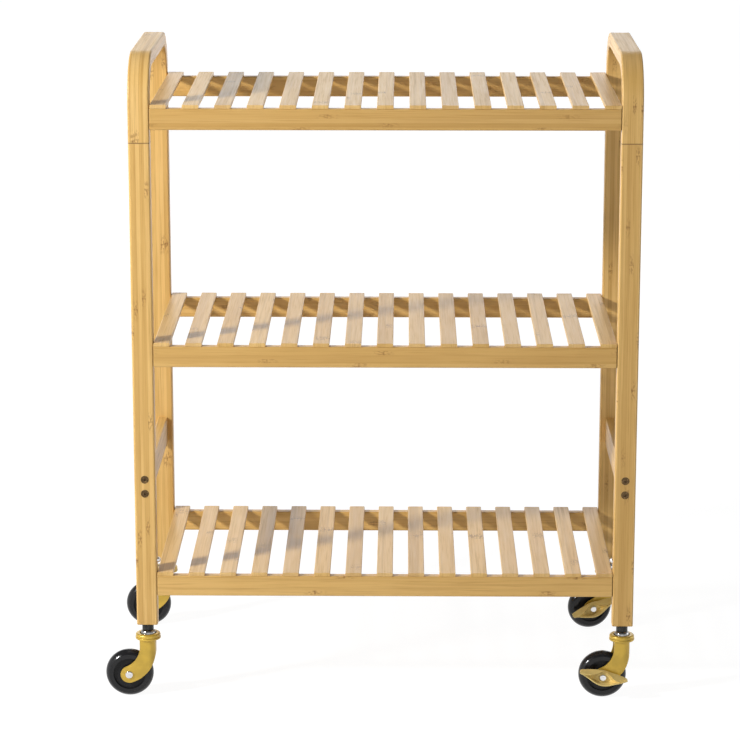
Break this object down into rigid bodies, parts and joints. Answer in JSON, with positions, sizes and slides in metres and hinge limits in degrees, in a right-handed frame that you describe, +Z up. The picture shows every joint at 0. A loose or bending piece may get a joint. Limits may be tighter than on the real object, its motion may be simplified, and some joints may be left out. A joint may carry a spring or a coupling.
{
  "type": "rolling utility cart",
  "caption": "Rolling utility cart with slatted bamboo shelves between bent-handle side frames, on swivel castors with foot brakes on one side.",
  "frame": {"origin": "on the floor, midway between the two side frames and midway between the front and rear posts", "axes": "+Z up, +X to the right along the shelves, towards the castors with brakes, +Y to the rear; the front faces -Y"},
  "size_m": [0.6635, 0.3252, 0.808],
  "materials": {
    "bamboo": "satin clear lacquer over laminated bamboo strips",
    "gold_paint": "semi-gloss mustard gold paint",
    "tyre": "smooth glossy black",
    "black_plastic": "glossy black moulding",
    "chrome": "polished",
    "bronze_bolt": "dark bronze plating",
    "black_metal": "black oxide",
    "inner_steel": "plain zinc-plated"
  },
  "bodies": {
    "cart_frame": {"left_handle": "bamboo", "right_handle": "bamboo", "handle_dowels": "bamboo", "front_left_post": "bamboo", "front_right_post": "bamboo", "rear_left_post": "bamboo", "rear_right_post": "bamboo", "left_crossbar": "bamboo", "right_crossbar": "bamboo", "crossbar_bolts": "bronze_bolt", "crossbar_inserts": "inner_steel", "bottom_front_rail": "bamboo", "bottom_rear_rail": "bamboo", "bottom_slats": "bamboo", "middle_front_rail": "bamboo", "middle_rear_rail": "bamboo", "middle_slats": "bamboo", "top_front_rail": "bamboo", "top_rear_rail": "bamboo", "top_slats": "bamboo", "slat_brads": "inner_steel", "shelf_bolts": "bronze_bolt", "shelf_inserts": "inner_steel", "dome_screws": "chrome", "castor_sockets": "inner_steel", "castor_stems": "black_metal", "bearing_cones": "chrome", "bearing_balls": "chrome"},
    "front_left_swivel": {"front_left_fork": "gold_paint", "front_left_race_ring": "gold_paint", "front_left_axle_rivet": "chrome"},
    "front_left_wheel": {"front_left_wheel_bush": "inner_steel", "front_left_wheel_hub": "black_plastic", "front_left_tyre": "tyre"},
    "front_right_swivel": {"front_right_fork": "gold_paint", "front_right_race_ring": "gold_paint", "front_right_axle_rivet": "chrome"},
    "front_right_wheel": {"front_right_wheel_bush": "inner_steel", "front_right_wheel_hub": "black_plastic", "front_right_tyre": "tyre"},
    "front_right_brake": {"front_right_brake_pedal": "gold_paint"},
    "rear_left_swivel": {"rear_left_fork": "gold_paint", "rear_left_race_ring": "gold_paint", "rear_left_axle_rivet": "chrome"},
    "rear_left_wheel": {"rear_left_wheel_bush": "inner_steel", "rear_left_wheel_hub": "black_plastic", "rear_left_tyre": "tyre"},
    "rear_right_swivel": {"rear_right_fork": "gold_paint", "rear_right_race_ring": "gold_paint", "rear_right_axle_rivet": "chrome"},
    "rear_right_wheel": {"rear_right_wheel_bush": "inner_steel", "rear_right_wheel_hub": "black_plastic", "rear_right_tyre": "tyre"},
    "rear_right_brake": {"rear_right_brake_pedal": "gold_paint"}
  },
  "joints": [
    {"name": "front_left_swivel_turn", "type": "hinge", "parent": "cart_frame", "child": "front_left_swivel", "pos_m": [-0.297, -0.141, 0.0776], "axis": [0, 0, 1], "continuous": true},
    {"name": "front_left_wheel_spin", "type": "hinge", "parent": "front_left_swivel", "child": "front_left_wheel", "pos_m": [-0.3207, -0.141, 0.03], "axis": [0, 1, 0], "continuous": true},
    {"name": "front_right_swivel_turn", "type": "hinge", "parent": "cart_frame", "child": "front_right_swivel", "pos_m": [0.297, -0.141, 0.0776], "axis": [0, 0, 1], "continuous": true},
    {"name": "front_right_wheel_spin", "type": "hinge", "parent": "front_right_swivel", "child": "front_right_wheel", "pos_m": [0.2733, -0.141, 0.03], "axis": [0, 1, 0], "continuous": true},
    {"name": "front_right_brake_press", "type": "hinge", "parent": "front_right_swivel", "child": "front_right_brake", "pos_m": [0.2733, -0.141, 0.03], "axis": [0, -1, 0], "range_deg": [0, 30]},
    {"name": "rear_left_swivel_turn", "type": "hinge", "parent": "cart_frame", "child": "rear_left_swivel", "pos_m": [-0.297, 0.141, 0.0776], "axis": [0, 0, 1], "continuous": true},
    {"name": "rear_left_wheel_spin", "type": "hinge", "parent": "rear_left_swivel", "child": "rear_left_wheel", "pos_m": [-0.3207, 0.141, 0.03], "axis": [0, 1, 0], "continuous": true},
    {"name": "rear_right_swivel_turn", "type": "hinge", "parent": "cart_frame", "child": "rear_right_swivel", "pos_m": [0.297, 0.141, 0.0776], "axis": [0, 0, 1], "continuous": true},
    {"name": "rear_right_wheel_spin", "type": "hinge", "parent": "rear_right_swivel", "child": "rear_right_wheel", "pos_m": [0.27411, 0.13487, 0.03], "axis": [-0.2588, 0.9659, 0], "continuous": true},
    {"name": "rear_right_brake_press", "type": "hinge", "parent": "rear_right_swivel", "child": "rear_right_brake", "pos_m": [0.27411, 0.13487, 0.03], "axis": [0.2588, -0.9659, 0], "range_deg": [-30, 0]}
  ]
}
